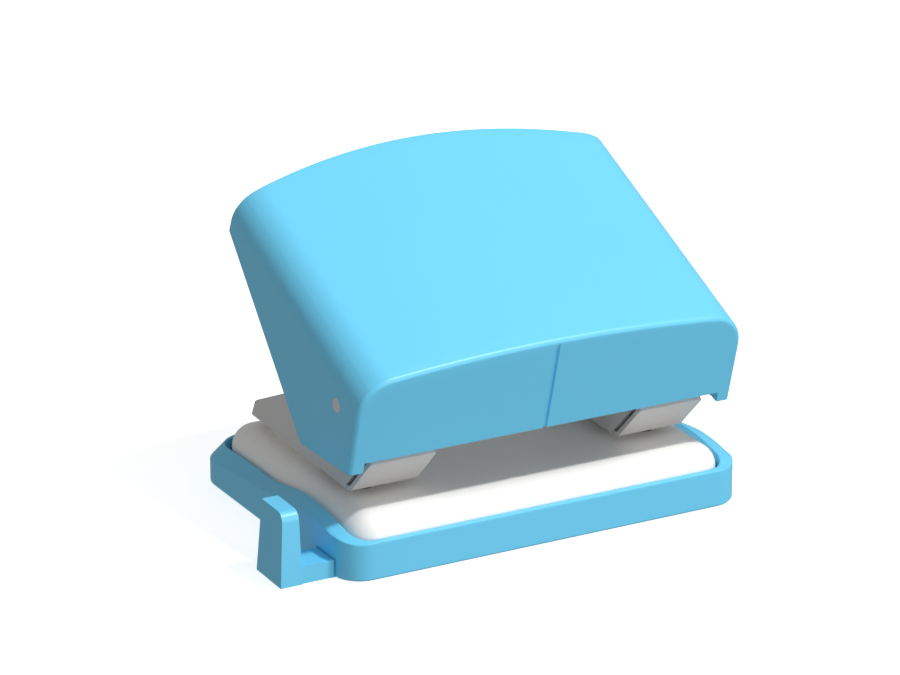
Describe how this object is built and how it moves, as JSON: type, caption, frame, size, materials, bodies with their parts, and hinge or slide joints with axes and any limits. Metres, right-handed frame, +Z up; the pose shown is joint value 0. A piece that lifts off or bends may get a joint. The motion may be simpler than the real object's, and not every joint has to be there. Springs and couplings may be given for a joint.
{
  "type": "two-hole punch",
  "caption": "Desk paper punch: rounded handle cap hinged on twin steel brackets over a pressed base plate, in a moulded chip tray with a side paper guide.",
  "frame": {"origin": "on the underside of the chip tray, halfway between the two punched holes and on the line through them; it is a point of the flat face that the punch stands on", "axes": "+X to the right along the line of holes, +Y to the back of the punch, +Z up"},
  "size_m": [0.1277, 0.0859, 0.0859],
  "materials": {
    "handle_plastic": "moulded sky-blue ABS, satin gloss",
    "tray_plastic": "moulded sky-blue plastic, satin gloss",
    "plate_paint": "white powder-coated steel sheet",
    "bracket_steel": "warm grey coated steel sheet, matt",
    "zinc_steel": "zinc plated",
    "tool_steel": "ground hardened steel",
    "spring_steel": "oiled spring wire",
    "axle_steel": "bright drawn rod",
    "pad_nylon": "natural nylon"
  },
  "bodies": {
    "chip_tray": {"tray": "tray_plastic"},
    "punch_base": {"base_plate": "plate_paint", "bracket_rivets": "zinc_steel", "left_die": "tool_steel", "right_die": "tool_steel", "left_bracket": "bracket_steel", "right_bracket": "bracket_steel", "left_guide_bush": "zinc_steel", "right_guide_bush": "zinc_steel", "left_punch_spring": "spring_steel", "right_punch_spring": "spring_steel"},
    "handle": {"handle_cover": "handle_plastic", "lever": "zinc_steel", "cover_screws": "zinc_steel", "left_press_pad": "pad_nylon", "right_press_pad": "pad_nylon", "axle": "axle_steel"},
    "left_punch": {"left_punch_pin": "tool_steel", "left_pin_clip": "spring_steel", "left_spring_washer": "zinc_steel"},
    "right_punch": {"right_punch_pin": "tool_steel", "right_pin_clip": "spring_steel", "right_spring_washer": "zinc_steel"},
    "paper_guide": {"paper_guide": "tray_plastic"}
  },
  "joints": [
    {"name": "base_hinge", "type": "hinge", "parent": "chip_tray", "child": "punch_base", "pos_m": [0, 0.05, 0.0093], "axis": [-1, 0, 0], "range_deg": [0, 50]},
    {"name": "handle_hinge", "type": "hinge", "parent": "punch_base", "child": "handle", "pos_m": [0, -0.0134, 0.0429], "axis": [-1, 0, 0], "range_deg": [0, 30], "stiffness_Nm_per_rad": 0.25, "springref_deg": -14.32},
    {"name": "left_punch_slide", "type": "slide", "parent": "punch_base", "child": "left_punch", "axis": [0, 0, -1], "range_m": [0, 0.0072], "deforming": ["left_punch_spring"]},
    {"name": "right_punch_slide", "type": "slide", "parent": "punch_base", "child": "right_punch", "axis": [0, 0, -1], "range_m": [0, 0.0072], "deforming": ["right_punch_spring"]},
    {"name": "guide_slide", "type": "slide", "parent": "chip_tray", "child": "paper_guide", "axis": [-1, 0, 0], "range_m": [-0.007, 0.084]}
  ],
  "couplings": [
    {"joint": "left_punch_slide", "follows": "handle_hinge", "m_per_rad": 0.0134},
    {"joint": "right_punch_slide", "follows": "handle_hinge", "m_per_rad": 0.0134}
  ]
}
